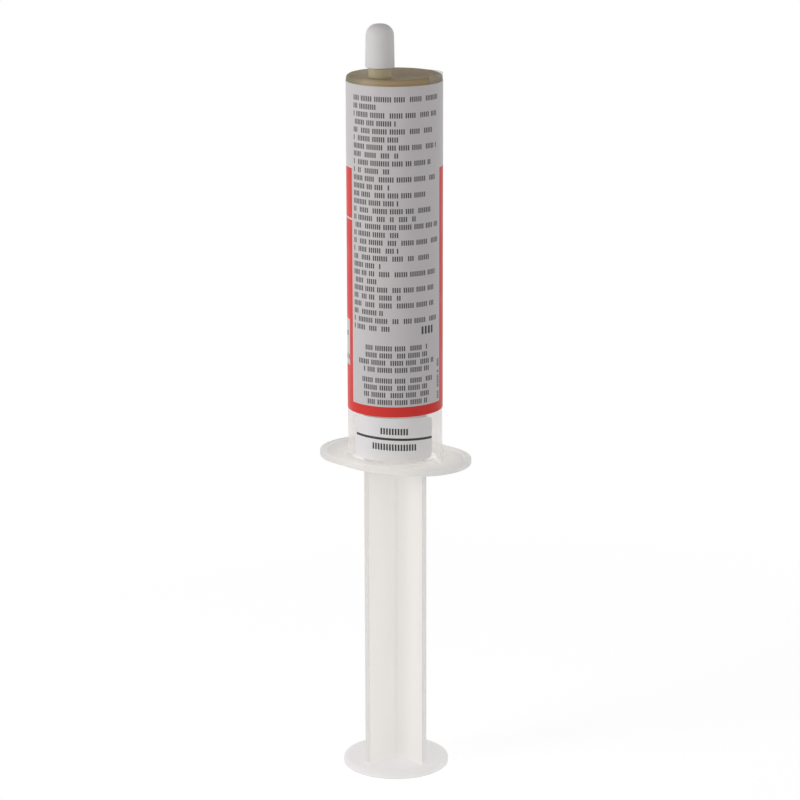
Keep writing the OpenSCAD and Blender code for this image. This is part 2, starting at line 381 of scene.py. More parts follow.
# %% Barrel sizes
LABEL_ON_WALL = 0.17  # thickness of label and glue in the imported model
BARREL_WALL, END_WALL, SHOULDER_ROUND, BORE_ROUND = 1.1, 1.2, 0.9, 0.4
CAP_GAP, NECK_LEN = 0.1, 2.1
FLANGE_T, WING_R, FLANGE_EDGE = 1.5, 12.0, 0.4
RIM_W, HOLLOW, STEP_W, STEP_OUT = 1.5, 0.4, 0.5, 0.4
ROOT_RING, ROOT_COVE, ROOT_APART = 0.8, 0.45, 0.02
GUSSET_H, GUSSET_LEN, GUSSET_T, GUSSET_SIDE, GUSSET_IN = 1.6, 2.6, 1.0, 0.35, 0.15
NECK_R, NECK_COVE, NECK_EDGE = 2.65, 0.45, 0.2
TAPER_TIP_R, TAPER_RATE, TAPER_FOOT, TAPER_EDGE = 1.985, 0.06, 0.08, 0.25
OUTLET_R, OUTLET_EDGE, OUTLET_FOOT, OUTLET_LEAD = 1.1, 0.15, 0.25, 0.6
BEAD_H, BEAD_W, BEAD_IN = 0.2, 1.2, 4.0
MOUTH_CHAMFER, MOUTH_ROUND, MOUTH_EDGE = 0.6, 0.2, 0.15
LEAD = 2.0  # length of a straight that only leads into a corner

barrel_r = wrap_high[0] - LABEL_ON_WALL
bore_r = barrel_r - BARREL_WALL
nozzle_y = (cap_low[1] + cap_high[1]) / 2
tip_z = barrel_high[2]
neck_top_z = cap_low[2] - CAP_GAP
end_z = neck_top_z - NECK_LEN
bore_end_z = end_z - END_WALL
flange_z = barrel_low[2]
flange_top_z = flange_z + FLANGE_T
flange_r, wing_tip = barrel_high[1], barrel_high[0]
wing_x = wing_tip - WING_R
ring_r = barrel_r + ROOT_RING
print(f"barrel {2 * barrel_r:.2f} mm across, end face at {end_z:.1f}, nozzle {nozzle_y:.1f} mm off the axis")

# %% Finger flange
EVERY, NEAR_GUSSET = 1.5, np.arange(-6, 6.01, 0.3)  # degrees
turn = np.concatenate([np.arange(0, 360, EVERY), NEAR_GUSSET % 360, 180 + NEAR_GUSSET])
turn = np.radians(np.unique(turn.round(3)))


def outline(inset):
    """Radius of the flange at each angle, inset from its edge. With the angle folded into one quarter it is
    the wing's end circle, wing_x cos a + sqrt(R^2 - (wing_x sin a)^2), then the tangent line, then the circle
    round the barrel."""
    fold = np.arccos(np.abs(np.cos(turn)))
    middle, end = flange_r - inset, WING_R - inset
    lean = np.arccos((flange_r - WING_R) / wing_x)
    on_end = wing_x * np.cos(fold) + np.sqrt(np.maximum(end**2 - (wing_x * np.sin(fold)) ** 2, 0))
    on_line = middle / np.cos(fold - lean)
    leaves_end = np.arctan2(end * np.sin(lean), wing_x + end * np.cos(lean))
    return np.where(fold < leaves_end, on_end, np.where(fold < lean, on_line, middle + 0 * fold))


def flange_rows():
    """Flange from the mouth outwards along its underside, round its edge, over the rim, down into each wing's
    hollow and up to the barrel. The hollow fades out where the flange is narrow, and near the wings' middle
    line the cove at the foot of the wall gives way to a sloping gusset."""
    quarter = np.linspace(0, np.pi / 2, 6)[:, None]
    under = mix(bore_r + MOUTH_CHAMFER, outline(FLANGE_EDGE), np.linspace(0, 1, 7)[1:-1, None])
    edge_low = outline(FLANGE_EDGE * (1 - np.sin(quarter)))
    edge_low_z = flange_z + FLANGE_EDGE * (1 - np.cos(quarter))
    edge_high = outline(FLANGE_EDGE * (1 - np.cos(quarter)))
    edge_high_z = flange_top_z - FLANGE_EDGE * (1 - np.sin(quarter))
    step = np.linspace(0, 1, 8)[:, None]
    foot_r = ring_r + STEP_W
    rim_in = np.maximum(outline(RIM_W + STEP_W * (step - STEP_OUT)), foot_r + ROOT_APART * (2 - step))
    depth = HOLLOW * smooth(outline(RIM_W + STEP_W) - foot_r)
    rim_in_z = flange_top_z - depth * smooth(step)
    from_middle = np.abs(barrel_r * np.sin(turn))
    on_gusset = 1 - smooth((from_middle - GUSSET_T / 2 + GUSSET_IN) / GUSSET_SIDE)
    gusset_r = barrel_r + GUSSET_LEN
    floor_r = mix(rim_in[-1], mix(foot_r, gusset_r, on_gusset), np.linspace(0, 1, 6)[1:-1, None])
    plain_r = np.concatenate([mix(foot_r, ring_r, step), barrel_r + ROOT_COVE * (1 - np.sin(quarter))])
    plain_z = np.concatenate([flange_top_z - depth * (1 - smooth(step)),
                              flange_top_z + ROOT_COVE * (1 - np.cos(quarter)) + 0 * turn])
    climb = np.linspace(0, 1, len(plain_r))[:, None]
    slope_z = mix(flange_top_z - HOLLOW, flange_top_z + GUSSET_H, climb)
    root_r = mix(plain_r, mix(gusset_r, barrel_r, climb), on_gusset)
    root_z = mix(plain_z, slope_z, on_gusset)
    r = [under, edge_low, edge_high, rim_in, floor_r, root_r]
    z = [flange_z, edge_low_z, edge_high_z, rim_in_z, flange_top_z - depth, root_z]
    return np.concatenate([rings(turn, a, b) for a, b in zip(r, z)])


print("flange", round(2 * wing_tip, 1), "by", round(2 * flange_r, 1), "mm,", len(turn), "points round")

# %% Wall, end face, nozzle and bore
WALL_ROWS, ABOVE_GUSSET, BELOW_SHOULDER = 9, 1.5, 1.0


def circles(profile, centre_y=0.0):
    """Rings of a plain profile on the barrel's own angles."""
    return rings(turn, profile[:, :1], profile[:, 1:], centre_y)


def slide(r_from, r_to, y_from, y_to, z, rows=12):
    """Flat face between two circles with different centres: radius and centre change together, so the rings
    nest."""
    t = np.linspace(0, 1, rows + 2)[1:-1, None]
    return rings(turn, mix(r_from, r_to, t), z, mix(y_from, y_to, t))


def taper_r(z):
    """Radius of the nozzle's slip taper at a height."""
    return TAPER_TIP_R + (tip_z - z) * TAPER_RATE / 2


flange_skin = flange_rows()
clear_z = flange_top_z + GUSSET_H + ABOVE_GUSSET
wall_foot_z = mix(flange_skin[-1, :, 2], clear_z, np.linspace(0, 1, 5)[1:-1, None])
wall_levels = np.linspace(clear_z, end_z - SHOULDER_ROUND - BELOW_SHOULDER, WALL_ROWS)
wall = np.stack([np.full(WALL_ROWS, barrel_r), wall_levels], 1)
shoulder = rounded([wall[-1], (barrel_r, end_z, SHOULDER_ROUND), (barrel_r - LEAD, end_z)], steps=8)[1:-1]
nozzle = rounded([
    (NECK_R + 1.5 * NECK_COVE, end_z), (NECK_R, end_z, NECK_COVE), (NECK_R, neck_top_z, NECK_EDGE),
    (taper_r(neck_top_z), neck_top_z, TAPER_FOOT), (TAPER_TIP_R, tip_z, TAPER_EDGE),
    (OUTLET_R, tip_z, OUTLET_EDGE), (OUTLET_R, bore_end_z, OUTLET_FOOT), (OUTLET_R + OUTLET_LEAD, bore_end_z),
])
bore_top = rounded([
    (bore_r - LEAD, bore_end_z), (bore_r, bore_end_z, BORE_ROUND), (bore_r, bore_end_z - LEAD)])[1:]
bead_z = flange_z + BEAD_IN
across = np.linspace(1, -1, 11)
bead = np.stack([bore_r - BEAD_H * np.cos(across * np.pi / 2) ** 2, bead_z + across * BEAD_W / 2], 1)
mouth = rounded([
    bead[-1], (bore_r, flange_z + MOUTH_CHAMFER, MOUTH_ROUND), (bore_r + MOUTH_CHAMFER, flange_z, MOUTH_EDGE),
    (bore_r + LEAD, flange_z)])[1:-1]
barrel = skin("barrel_moulding", np.concatenate([
    rings(turn, barrel_r, wall_foot_z), circles(wall), circles(shoulder),
    slide(shoulder[-1, 0], nozzle[0, 0], 0, nozzle_y, end_z),
    circles(nozzle, nozzle_y),
    slide(nozzle[-1, 0], bore_top[0, 0], nozzle_y, 0, bore_end_z),
    circles(bore_top), circles(bead), circles(mouth), flange_skin,
]), close_rows=True)

# %% [markdown]
# Natural polypropylene is clear with a milky haze. Bare glass would be too sharp for it and a plain
# see-through blend too thin, so its body scatters light through itself and only a share of it can be looked
# through. Where grease wets the wall from inside, the wall bends the grease's colour out to its own edges, so
# there the plastic takes that colour. It isn't even: a paler streak across one side is a painted highlight,
# the wall beyond it is painted darker as painted shade, and the thick-walled neck is paler too, with its foot
# painted lighter to take out the shade there. The flange is painted greyer towards the wings' ends as painted
# shade, and the skin of the bore is left clear, so that the haze is counted once.

# %% Grease behind the wall
OCHRE_LOW, OCHRE_HIGH = (0.368, 0.273, 0.147), (0.405, 0.304, 0.171)
# Painted shade: the second colour on the next line darkens the wet wall towards the far side, beyond the
# streak.
SHOULDER_OCHRE, FAR_SIDE_SHADE = (0.445, 0.338, 0.195), (0.30, 0.265, 0.19)
# Painted highlight: the first colour on the next line is a paler streak across one side of the wet wall,
# where the key lamp's reflection falls.
STREAK_HIGHLIGHT, HIGHLIGHT_SIDE = (0.50, 0.42, 0.285), math.radians(-146)
HIGHLIGHT_RISE, HIGHLIGHT_FALL, WALL_HIGHLIGHT = (2.3, 5.8), (6.8, 10.0), 0.4
# Painted light: the next colour lightens the end face round the neck's foot, against the shade cast by the
# neck and cap.
NECK_FOOT_LIGHT, NECK_FOOT_LIGHT_W = (0.50, 0.41, 0.265), (0.2, 1.5)
BEND_FROM, BEND_TO, BEND_TOP = 1.3, 0.5, 1 / 15  # below the end face, in shoulder radii


def wet_colour(tree, where, height, flow):
    """The grease's ochre, and colours laid over it by shares: lighter round the shoulder's bend, a painted
    highlight in a streak that rises and falls across one side, painted shade beyond the streak, and painted
    light round the neck's foot."""
    side = towards(tree, where, HIGHLIGHT_SIDE)
    rise, fall = (ranged(tree, side, 0, 1, at=span) for span in (HIGHLIGHT_RISE, HIGHLIGHT_FALL))
    bend_at = [end_z - depth * SHOULDER_ROUND for depth in (BEND_FROM, BEND_TO)]
    above_wall = ranged(tree, height, 0, 1, at=bend_at)
    below_face = height < end_z - BEND_TOP * SHOULDER_ROUND
    # Share of the painted highlight, weaker on the wall below the shoulder; fall also sets the painted shade
    # beyond it.
    highlight = (rise - fall) * (above_wall * (1 - WALL_HIGHLIGHT) + WALL_HIGHLIGHT)
    foot_at = [NECK_R + width for width in NECK_FOOT_LIGHT_W]
    # Share of the painted light round the neck's foot.
    neck_foot_light = ranged(tree, from_axis(tree, where, nozzle_y), 1, 0, at=foot_at)
    colour = tinted(tree, flow, OCHRE_LOW, OCHRE_HIGH)
    for share, tint in ((above_wall * below_face, SHOULDER_OCHRE), (highlight, STREAK_HIGHLIGHT),
                        (fall * below_face, FAR_SIDE_SHADE), (neck_foot_light * above_wall, NECK_FOOT_LIGHT)):
        colour = tinted(tree, share, colour, tint)
    return colour


print(f"grease wets the wall from {seal_high[2]:.1f} to {bore_end_z:.1f} mm")

# %% Barrel finish
MILK_LOW, MILK_HIGH = (0.945, 0.915, 0.89), (0.97, 0.945, 0.925)
# The second colour on the next line is painted shade on the wings' ends, from the radius after it out to the
# tips.
FLANGE_MILK, WING_END_SHADE, WING_SHADE_FROM = (0.965, 0.945, 0.925), (0.83, 0.83, 0.825), 13.0
NECK_LOW, NECK_HIGH = (0.78, 0.69, 0.49), (0.83, 0.74, 0.535)
DRY_CLEAR, WET_CLEAR, FLANGE_CLEAR, NECK_CLEAR = 0.6, 0.1, 0.12, 0.1
DRY_GLOW, WET_GLOW, FLANGE_GLOW, NECK_GLOW = 0.8, 0.0, 0.81, 0.5
BORE_SKIN = 0.5  # reach of the clear skin into the wall


def natural_plastic():
    """Milky plastic in zones by height and radius: the dry wall, the wall wet with grease, the neck, and the
    flange with its wing ends painted greyer as painted shade. Each zone is 1 where it holds, so a value is a
    sum over the zones."""
    material, tree, shader, where = finish("natural_polypropylene", IOR=1.49, Specular_IOR_Level=0.003)
    height, radius = height_of(tree, where), from_axis(tree, where)
    flow = grain(tree, where, 3.0, stretch=(1, 1, 5))
    flange = height < flange_top_z + ROOT_COVE
    # Painted shade: the wings grey out towards their tips.
    wing_shade = flange * ranged(tree, radius, 0, 1, at=(WING_SHADE_FROM, wing_tip))
    neck = height > end_z + NECK_COVE / 6
    wet = (height > seal_high[2]) - neck
    colour = tinted(tree, flow, MILK_LOW, MILK_HIGH)
    for share, tint in ((flange, FLANGE_MILK), (wing_shade, WING_END_SHADE), (wet, wet_colour(tree, where, height, flow)),
                        (neck, tinted(tree, flow, NECK_LOW, NECK_HIGH))):
        colour = tinted(tree, share, colour, tint)
    dress(tree, shader, colour, ranged(tree, flow, 0.22, 0.36), grain(tree, where, 0.8), depth_mm=0.006)

    def by_zone(dry, at_grease, at_flange, at_neck):
        """The dry wall's value, plus in each other zone the difference from it."""
        return wet * (at_grease - dry) + flange * (at_flange - dry) + neck * (at_neck - dry) + dry

    inside = (radius < bore_r + BORE_SKIN) * (height < bore_end_z)
    clear = by_zone(DRY_CLEAR, WET_CLEAR, FLANGE_CLEAR, NECK_CLEAR) | inside
    glow = by_zone(DRY_GLOW, WET_GLOW, FLANGE_GLOW, NECK_GLOW)
    lets_light_through(material, shader, colour, glow, clear, roughness=0.14)
    return material


seat(barrel, "barrel", "barrel_plastic", natural_plastic(), "barrel")

# %% [markdown]
# ## Plunger rod
# The rod is moulded in one with its thumb plate: four thin ribs that cross on a stout core, a seat disc, and
# a snap knob that holds the seal. Extruding a cross and joining it to a disc would leave hard corners, so the
# rod is also one skin: the cross is written as a radius at each angle, and rows blend from the plate's circle
# into the cross, with a fillet, and from the cross into the seat disc.

# %% Rod sizes
PLATE_T, PLATE_ROUND, PLATE_FOOT_ROUND = 1.6, 0.5, 0.3
PLATE_RIM, GROOVE_W, GROOVE_DEPTH, GROOVES = 2.0, 1.0, 0.3, 3
GROOVE_SLOPE, GROOVE_EDGE = 0.12, 0.08
RIB_R, RIB_T, RIB_EDGE, FOOT_FILLET = 9.7, 1.5, 0.12, 0.7
CORE_R, CORE_LEAD, CORE_ROUND = 1.4, 0.5, 0.6
RIB_TURN = math.radians(-11)
SEAT_R, SEAT_T, SEAT_GAP, SEAT_ROUND = 9.7, 1.5, 0.05, 0.2
KNOB_R, KNOB_LEN, KNOB_NECK_R, KNOB_LEAD = 5.5, 2.6, 3.5, 1.3
KNOB_UNDER, KNOB_EDGE, KNOB_ROUND = 0.1, 0.15, 0.3
plate_r, knob_top_z = rod_high[0], rod_high[2]
seal_z, seal_top_z = seal_low[2], seal_high[2]
seat_top_z = seal_z - SEAT_GAP
seat_z = seat_top_z - SEAT_T


def cross_profile(grow, fine=200):
    """Eighth of the cross as (angle, radius), from a rib's middle line to the middle of the corner between
    two ribs, with all sides moved out by grow. Each side is cut into many points, so that a flat side stays
    flat when a radius is read between them."""
    half = RIB_T / 2 + grow
    core = (CORE_R + grow) / math.sqrt(2)
    end = RIB_R + grow
    points = rounded([(end, 0), (end, half, RIB_EDGE), (half + CORE_LEAD, half, CORE_ROUND), (core, core)])
    place = np.linspace(0, len(points) - 1, (len(points) - 1) * fine + 1)
    x, y = (np.interp(place, np.arange(len(points)), values) for values in points.T)
    return np.arctan2(y, x), np.hypot(x, y)


corner_angles = np.degrees(cross_profile(0, fine=1)[0])
eighth = np.concatenate([corner_angles, np.arange(0, 45, 2.5), np.arange(3, 9, 0.6)])
eighth = np.unique(eighth.round(3))
quarter_turn = np.concatenate([eighth, 90 - eighth])
around = np.radians(np.unique(np.concatenate([quarter_turn + k * 90 for k in range(4)]).round(3) % 360))
print(f"rod: plate {2 * plate_r:.1f} mm, ribs {RIB_T} mm thick, {len(around)} points round")

# %% Rod skin
def cross(grow):
    """Radius of the grown cross at each angle of the rod, which is folded into its first eighth."""
    fold = np.abs((around + np.pi / 4) % (np.pi / 2) - np.pi / 4)
    return np.interp(fold, *cross_profile(grow))


def swell(plain_z, fillet):
    """Concave fillet where the ribs stand on a flat face: rows grown by fillet (1 - sin a) and lifted off the
    face by fillet (1 - cos a)."""
    bend = np.linspace(0, np.pi / 2, 6)
    grown = np.stack([np.minimum(cross(fillet * (1 - np.sin(a))), SEAT_R + fillet) for a in bend])
    return rings(around, grown, plain_z + fillet * (1 - np.cos(bend))[:, None])


def groove(r_out):
    """Corners of one grip groove in the underside, given its outer radius, from its inner edge outwards."""
    r_in = r_out - GROOVE_W
    roof = [(r_in + GROOVE_SLOPE, GROOVE_DEPTH), (r_out - GROOVE_SLOPE, GROOVE_DEPTH)]
    return [(*corner, GROOVE_EDGE) for corner in ((r_in, 0), *roof, (r_out, 0))]


def circle_rows(profile):
    """Rings of a plain profile on the rod's own angles."""
    return rings(around, profile[:, :1], profile[:, 1:])


groove_out = [plate_r - PLATE_RIM - 2 * GROOVE_W * k for k in reversed(range(GROOVES))]
plate = rounded([(0, 0)] + [corner for r_out in groove_out for corner in groove(r_out)] + [
    (plate_r, 0, PLATE_FOOT_ROUND), (plate_r, PLATE_T, PLATE_ROUND), (plate_r - LEAD, PLATE_T)])[:-1]
head = rounded([
    (SEAT_R, seat_z), (SEAT_R, seat_top_z, SEAT_ROUND), (KNOB_NECK_R, seat_top_z, SEAT_ROUND),
    (KNOB_NECK_R, knob_top_z - KNOB_LEN, KNOB_UNDER), (KNOB_R, knob_top_z - KNOB_LEN, KNOB_EDGE),
    (KNOB_R, knob_top_z - KNOB_LEAD, KNOB_ROUND), (KNOB_R - KNOB_LEAD, knob_top_z, KNOB_ROUND),
    (0, knob_top_z)])
inwards = np.linspace(0, 1, 7)[1:-1, None]
plate_top = rings(around, mix(plate[-1, 0], cross(FOOT_FILLET), inwards), PLATE_T)
stem = rings(around, cross(0), np.linspace(PLATE_T + FOOT_FILLET, seat_z, 24)[1:, None])
seat_under = rings(around, mix(cross(0), SEAT_R, inwards), seat_z)
rod_grid = np.concatenate([
    circle_rows(plate), plate_top, swell(PLATE_T, FOOT_FILLET), stem, seat_under, circle_rows(head)])
cosine, sine = math.cos(RIB_TURN), math.sin(RIB_TURN)
rod = skin("plunger_rod_moulding", rod_grid @ np.array([[cosine, sine, 0], [-sine, cosine, 0], [0, 0, 1]]))

# %% [markdown]
# The rod is softer, milkier plastic than the barrel. Light goes into a rib, wanders about and comes out on
# the other side, which evens out the shade between the two faces of a groove. A body that scatters light
# through itself does that, and a small share that can be looked through lets the white behind it show. The
# ribs' end faces are painted a shade darker, a painted shade for the light that has the whole depth of the
# rib to cross there, and the thumb plate is a little cooler.

# %% Rod finish
ROD_LOW, ROD_HIGH = (0.930, 0.912, 0.892), (0.952, 0.936, 0.922)
# The first colour on the next line is painted shade on the ribs' end faces.
RIB_END_SHADE, PLATE_COLOUR = (0.83, 0.82, 0.808), (0.918, 0.908, 0.905)
ROD_GLOW, ROD_CLEAR, RIB_EDGE_CLEAR = 0.66, 0.2, 0.1


def milky_plastic():
    """Glowing plastic with two zones: the thumb plate by height, and the ribs' end faces, painted a shade
    darker, by their distance from the axis."""
    material, tree, shader, where = finish("milky_polyethylene", IOR=1.5, Specular_IOR_Level=0.2)
    height = height_of(tree, where)
    flow = grain(tree, where, 4.0, stretch=(1, 1, 6))
    plate_zone = height < PLATE_T + FOOT_FILLET / 2
    # Painted shade: the ribs' end faces take the darker colour.
    edge = (from_axis(tree, where) > RIB_R - RIB_EDGE) * (height > PLATE_T + FOOT_FILLET)
    colour = tinted(tree, flow, ROD_LOW, ROD_HIGH)
    for share, tint in ((plate_zone, PLATE_COLOUR), (edge, RIB_END_SHADE)):
        colour = tinted(tree, share, colour, tint)
    dress(tree, shader, colour, ranged(tree, flow, 0.36, 0.5), grain(tree, where, 0.6), depth_mm=0.008)
    clear = edge * (RIB_EDGE_CLEAR - ROD_CLEAR) + ROD_CLEAR
    lets_light_through(material, shader, colour, ROD_GLOW, clear, roughness=0.3)
    return material


seat(rod, "rod", "rod_plastic", milky_plastic(), "plunger_rod")

# %% [markdown]
# ## Seal
# The seal is a rubber plug on the rod's knob, with two lips that wipe the bore and a waist between them. It
# could be joined from discs, but it is turned all over, so one profile swung round the axis gives its lips,
# its waist and the socket for the knob at once. Rubber is dull and uneven, so one grain spreads its colour
# and its shine, and a finer one roughens it.

# %% Seal
LIP_LEN, WAIST_IN, WAIST_ROUND, LIP_BACK = 1.8, 0.8, 0.5, 0.3
SEAL_EDGE, SEAL_EDGE_ROUND, SEAL_FOOT_ROUND = 0.45, 0.2, 0.15
SOCKET_GAP, SOCKET_EDGE, SOCKET_ROUND = 0.05, 0.08, 0.25
lip_r = seal_high[0]
waist_r, foot_in = lip_r - WAIST_IN, WAIST_IN / 2
socket_r, socket_neck_r = KNOB_R + SOCKET_GAP, KNOB_NECK_R + SOCKET_GAP
socket_top_z, socket_foot_z = knob_top_z + SOCKET_GAP, knob_top_z - KNOB_LEN - SOCKET_GAP
seal = lathe("seal_plug", rounded([
    (0, seal_top_z), (lip_r - SEAL_EDGE, seal_top_z, SEAL_EDGE_ROUND),
    (lip_r, seal_top_z - SEAL_EDGE, SEAL_EDGE_ROUND), (lip_r, seal_top_z - LIP_LEN, LIP_BACK),
    (waist_r, seal_top_z - LIP_LEN - WAIST_IN, WAIST_ROUND),
    (waist_r, seal_z + LIP_LEN + WAIST_IN, WAIST_ROUND),
    (lip_r, seal_z + LIP_LEN, LIP_BACK), (lip_r, seal_z + foot_in, SEAL_FOOT_ROUND),
    (lip_r - foot_in, seal_z, SEAL_FOOT_ROUND), (socket_neck_r, seal_z, SEAL_FOOT_ROUND),
    (socket_neck_r, socket_foot_z, SOCKET_EDGE), (socket_r, socket_foot_z, SOCKET_EDGE),
    (socket_r, knob_top_z - KNOB_LEAD + SOCKET_GAP, SOCKET_ROUND),
    (socket_r - KNOB_LEAD, socket_top_z, SOCKET_ROUND), (0, socket_top_z)]))
RUBBER_LOW, RUBBER_HIGH = (0.60, 0.58, 0.55), (0.68, 0.66, 0.63)


def seal_rubber():
    """Dull rubber: colour and roughness follow one grain, the bump a finer one."""
    material, tree, shader, where = finish("moulded_rubber", Specular_IOR_Level=0.4)
    dust = grain(tree, where, 0.9, detail=5.0, rough=0.65)
    dress(tree, shader, tinted(tree, dust, RUBBER_LOW, RUBBER_HIGH), ranged(tree, dust, 0.5, 0.72),
          grain(tree, where, 0.25, detail=4.0), depth_mm=0.02, strength=0.7)
    return material


seat(seal, "seal", "seal_rubber", seal_rubber(), "plunger_seal")

# %% [markdown]
# ## Tip cap
# The cap is a thimble of opaque white plastic that is pushed on the nozzle. A cylinder could be bevelled into
# its dome, but the socket inside has to follow the nozzle's taper, so both are one profile, swung round the
# nozzle's own axis. Opaque plastic needs no light passed through it: a satin white with a faint cloud is
# enough.

# %% Tip cap
CAP_TOP_R, CAP_DOME, CAP_RIM, CAP_FIT, CAP_MOUTH, CAP_ROOF = 3.2, 2.6, 0.25, 0.03, 0.12, 0.2
CAP_LOW, CAP_HIGH = (0.715, 0.702, 0.697), (0.77, 0.757, 0.752)
cap_r, cap_z, cap_top_z = (cap_high[0] - cap_low[0]) / 2, cap_low[2], cap_high[2]
roof_z = tip_z + CAP_GAP
cap = lathe("tip_cap_moulding", rounded([
    (0, cap_top_z), (CAP_TOP_R, cap_top_z, CAP_DOME), (cap_r, cap_z, CAP_RIM),
    (taper_r(cap_z) + CAP_FIT, cap_z, CAP_MOUTH), (taper_r(roof_z) + CAP_FIT, roof_z, CAP_ROOF), (0, roof_z)],
    steps=10), turns=96, centre_y=nozzle_y)


def cap_plastic():
    """Satin plastic: colour and roughness follow a cloud, the bump a fine grain."""
    material, tree, shader, where = finish("white_cap_plastic", IOR=1.5, Specular_IOR_Level=0.04)
    cloud = grain(tree, where, 2.2)
    dress(tree, shader, tinted(tree, cloud, CAP_LOW, CAP_HIGH), ranged(tree, cloud, 0.38, 0.5),
          grain(tree, where, 0.3), depth_mm=0.01, strength=0.6)
    return material


seat(cap, "cap", "cap_plastic", cap_plastic(), "tip_cap")

# %% [markdown]
# ## Grease
# The grease fills what is left of the bore and the nozzle's hole. One piece could fill both, but the column
# in the bore shortens as the seal comes up and the thread in the nozzle keeps its length, so each is a
# profile of its own. Both reach a hair into the wall they wet, so that no film of air shows between them.
# Grease is wet and opaque, with slow streaks up and down.

# %% Grease
WETS, FILM, GREASE_EDGE, GREASE_LIFT = 0.03, 0.02, 0.1, 1.0
THREAD_SHORT, THREAD_ROUND, THREAD_DOME = 0.4, 0.5, 0.1
column_r, column_top_z, column_z = bore_r + WETS, bore_end_z + WETS, seal_top_z + FILM
column = lathe("grease_column", rounded([
    (0, column_z), (column_r - 2 * WETS, column_z, GREASE_EDGE), (column_r, seal_top_z + GREASE_LIFT),
    (column_r, column_top_z, BORE_ROUND), (0, column_top_z)]))
thread_r, thread_z, thread_top_z = OUTLET_R + WETS, bore_end_z - FILM, tip_z - THREAD_SHORT
thread = lathe("grease_thread", rounded([
    (0, thread_z), (thread_r, thread_z, GREASE_EDGE), (thread_r, thread_top_z, THREAD_ROUND),
    (0, thread_top_z + THREAD_DOME)]), turns=48, centre_y=nozzle_y)


def ochre_grease():
    """Wet grease: colour and roughness follow a grain drawn out upright, the bump a plain one."""
    material, tree, shader, where = finish("ochre_grease", IOR=1.48)
    streak = grain(tree, where, 2.5, detail=4.0, rough=0.6, stretch=(1, 1, 3))
    dress(tree, shader, tinted(tree, streak, OCHRE_LOW, OCHRE_HIGH), ranged(tree, streak, 0.22, 0.4),
          grain(tree, where, 1.6), depth_mm=0.05)
    return material


grease = ochre_grease()
seat(column, "barrel", "grease", grease, "grease_charge")
bore_end_z * MM
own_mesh(column)
seat(thread, "barrel", "grease", grease)

# %% [markdown]
# ## Labels
# Two labels are stuck to the barrel: a printed wrap that goes once round and laps over its own start, and a
# small batch label with round corners. A label could be painted on the barrel, but its edge catches the light
# and casts a fine shadow, so each is a thin strip with real thickness: at each step along it there is a low
# edge, a high edge and a radius. The wrap starts a little crooked, so at its start it stands above its own
# level end, where it is only clear film. The UV map is in millimetres, along and up, so that the print can be
# laid out with a ruler.

# %% Strips
LABEL_STOCK, GLUE = 0.06, 0.01
glue_r = barrel_r + GLUE
label_r = glue_r + LABEL_STOCK


def strip(name, angle, low, high, inner_r, along, foot, rows=9):
    """Thin strip bent round the barrel. Each station of it is a closed loop: up the outer face from low to
    high and down the inner face. The two end loops are pinched to their middle line, which closes the ends.
    The print's heights are measured from foot, the level of the strip's foot line."""
    up = np.linspace(0, 1, rows)
    height = np.concatenate([up, up[::-1]])
    outer = np.concatenate([np.ones(rows), np.zeros(rows)])
    pinched = np.full(2 * rows, 0.5)
    layer = np.vstack([pinched, np.tile(outer, (len(angle), 1)), pinched])
    stations = (angle, low, high, inner_r, along, foot)
    angle, low, high, inner_r, along, foot = (np.pad(each, 1, mode="edge")[:, None] for each in stations)
    r = inner_r + LABEL_STOCK * layer
    z = mix(low, high, height)
    grid = np.stack(np.broadcast_arrays(r * np.cos(angle), r * np.sin(angle), z), -1)
    chart = np.stack(np.broadcast_arrays(along, z - foot), -1)
    return skin(name, grid, chart=chart)


print(f"label stock {LABEL_STOCK} mm on {GLUE} mm of glue, {2 * label_r:.2f} mm across")

# %% Wrap label
LAP_START, LAP, LAP_RAMP = math.radians(46), math.radians(44), math.radians(6)
CROOKED, CROOKED_OVER = 1.9, math.radians(230)
label_h = wrap_high[2] - wrap_low[2]
swept = np.linspace(0, 2 * np.pi + LAP, 380)
from_camera = swept + LAP_START - 2 * np.pi
lifted = (LABEL_STOCK + GLUE) * smooth((swept - 2 * np.pi + LAP_RAMP) / LAP_RAMP)
wrap_foot = wrap_low[2] + CROOKED * (1 - smooth(swept / CROOKED_OVER))
wrap = strip("wrap_label_strip", facing + from_camera, wrap_foot, wrap_foot + label_h, glue_r + lifted,
             from_camera * label_r, wrap_foot)

# %% Batch label
BATCH_ROUND, BATCH_LEAN, BATCH_UP = 1.5, -0.02, 0.18
BATCH_OUT = math.radians(4.2), math.radians(-1.6)
batch_from, batch_to = (-math.acos(x / wrap_high[0]) for x in (batch_low[0], batch_high[0]))
batch_from, batch_to = batch_from - BATCH_OUT[0], batch_to + BATCH_OUT[1]
batch_w, batch_h = (batch_to - batch_from) * label_r, batch_high[2] - batch_low[2]
corner = BATCH_ROUND * (1 - np.cos(np.linspace(0, np.pi / 2, 9)))
straight = np.linspace(BATCH_ROUND, batch_w - BATCH_ROUND, 48)
along = np.unique(np.concatenate([corner, straight, batch_w - corner]).round(4))
from_end = np.minimum(np.minimum(along, batch_w - along), BATCH_ROUND)
cut = BATCH_ROUND - np.sqrt(BATCH_ROUND**2 - (BATCH_ROUND - from_end) ** 2)
batch_foot = batch_low[2] + BATCH_UP + BATCH_LEAN * (along - batch_w / 2)
batch = strip("batch_label_strip", batch_from + along / label_r, batch_foot + cut, batch_foot + batch_h - cut,
              np.full_like(along, glue_r), along, batch_foot)
print(f"wrap label {swept[-1] * label_r:.1f} by {label_h:.1f} mm")
print(f"batch label {batch_w:.1f} by {batch_h:.1f} mm")

# %% [markdown]
# The print is worked out from the strip's millimetres. An image could carry it, but a ruler does as well:
# fields are comparisons, and a block of small print is a row number, a place in the row, and gaps between
# groups of marks. The marks are plain, even ticks in a few sizes.

